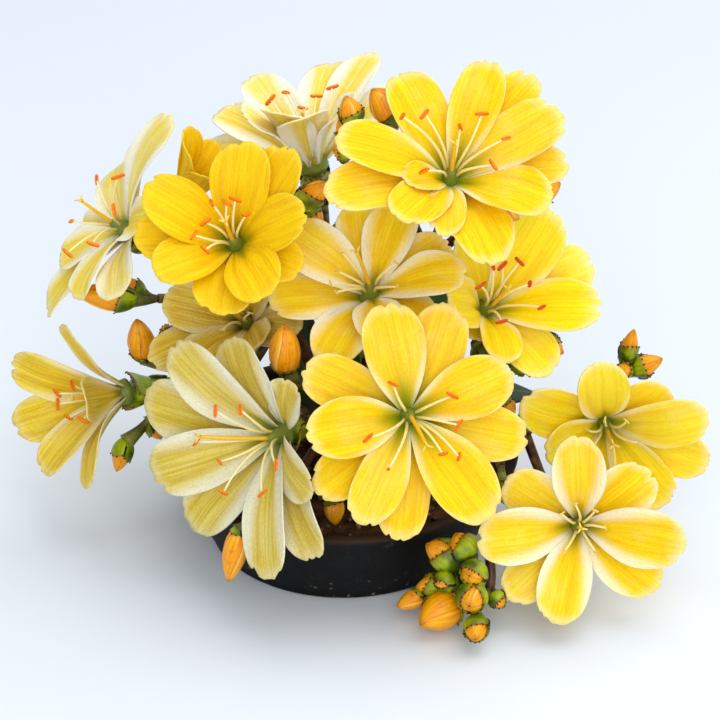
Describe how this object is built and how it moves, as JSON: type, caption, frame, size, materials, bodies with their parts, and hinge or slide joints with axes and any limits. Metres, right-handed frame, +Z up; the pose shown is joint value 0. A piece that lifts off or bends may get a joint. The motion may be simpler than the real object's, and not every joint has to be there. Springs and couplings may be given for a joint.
{
  "type": "potted lewisia",
  "caption": "Flowering lewisia in a low flared dark pot: wide yellow cup-shaped flowers and orange-tipped buds on short branched stalks above a leaf rosette and soil.",
  "frame": {"origin": "centre of the pot's flat base, on the surface it stands on", "axes": "+Z up, +X to the right and -Y towards the viewer who faces the side that most flowers face"},
  "size_m": [0.1159, 0.0693, 0.0832],
  "materials": {
    "pot": "satin, dusty",
    "soil": "rough and crumbly",
    "crown": "rough",
    "leaf": "waxy satin",
    "stalk": "satin",
    "petal_bright": "thin, satin, slightly translucent",
    "petal_straw": "thin, satin, slightly translucent",
    "petal_gold": "thin, satin, slightly translucent",
    "petal_pale": "thin, satin, slightly translucent",
    "petal_khaki": "thin, satin, slightly translucent",
    "stamen": "satin",
    "bud": "glossy",
    "sepal": "satin"
  },
  "bodies": {
    "root": {"pot": "pot", "soil": "soil", "crown": "crown", "leaf_01": "leaf", "leaf_02": "leaf", "leaf_03": "leaf", "leaf_04": "leaf", "leaf_05": "leaf", "leaf_06": "leaf", "leaf_07": "leaf", "leaf_08": "leaf", "leaf_09": "leaf", "leaf_10": "leaf", "scape_left": "stalk", "scape_rear": "stalk", "scape_top": "stalk", "scape_centre": "stalk", "scape_right": "stalk", "scape_low_right": "stalk", "scape_front": "stalk", "scape_low_left": "stalk", "flower_01_petals": "petal_bright", "flower_01_stamens": "stamen", "flower_02_petals": "petal_straw", "flower_02_stamens": "stamen", "flower_03_petals": "petal_gold", "flower_03_stamens": "stamen", "flower_04_petals": "petal_bright", "flower_04_stamens": "stamen", "flower_05_petals": "petal_bright", "flower_05_stamens": "stamen", "flower_06_petals": "petal_bright", "flower_06_stamens": "stamen", "flower_07_petals": "petal_bright", "flower_07_stamens": "stamen", "flower_08_petals": "petal_gold", "flower_08_stamens": "stamen", "flower_09_petals": "petal_pale", "flower_09_stamens": "stamen", "flower_10_petals": "petal_pale", "flower_10_stamens": "stamen", "flower_11_petals": "petal_pale", "flower_11_stamens": "stamen", "flower_12_petals": "petal_khaki", "flower_12_stamens": "stamen", "half_open_flower": "petal_bright", "buds_front": "bud", "buds_right": "bud", "buds_left": "bud", "buds_upright_left": "bud", "buds_low_left": "bud", "buds_middle": "bud", "bud_hanging_front": "bud", "bud_under_flower_01": "bud", "buds_top_left": "bud", "buds_top_centre": "bud", "buds_top_right": "bud", "buds_mid_right": "bud", "buds_inner_right": "bud", "bud_low_right": "bud"}
  },
  "joints": []
}
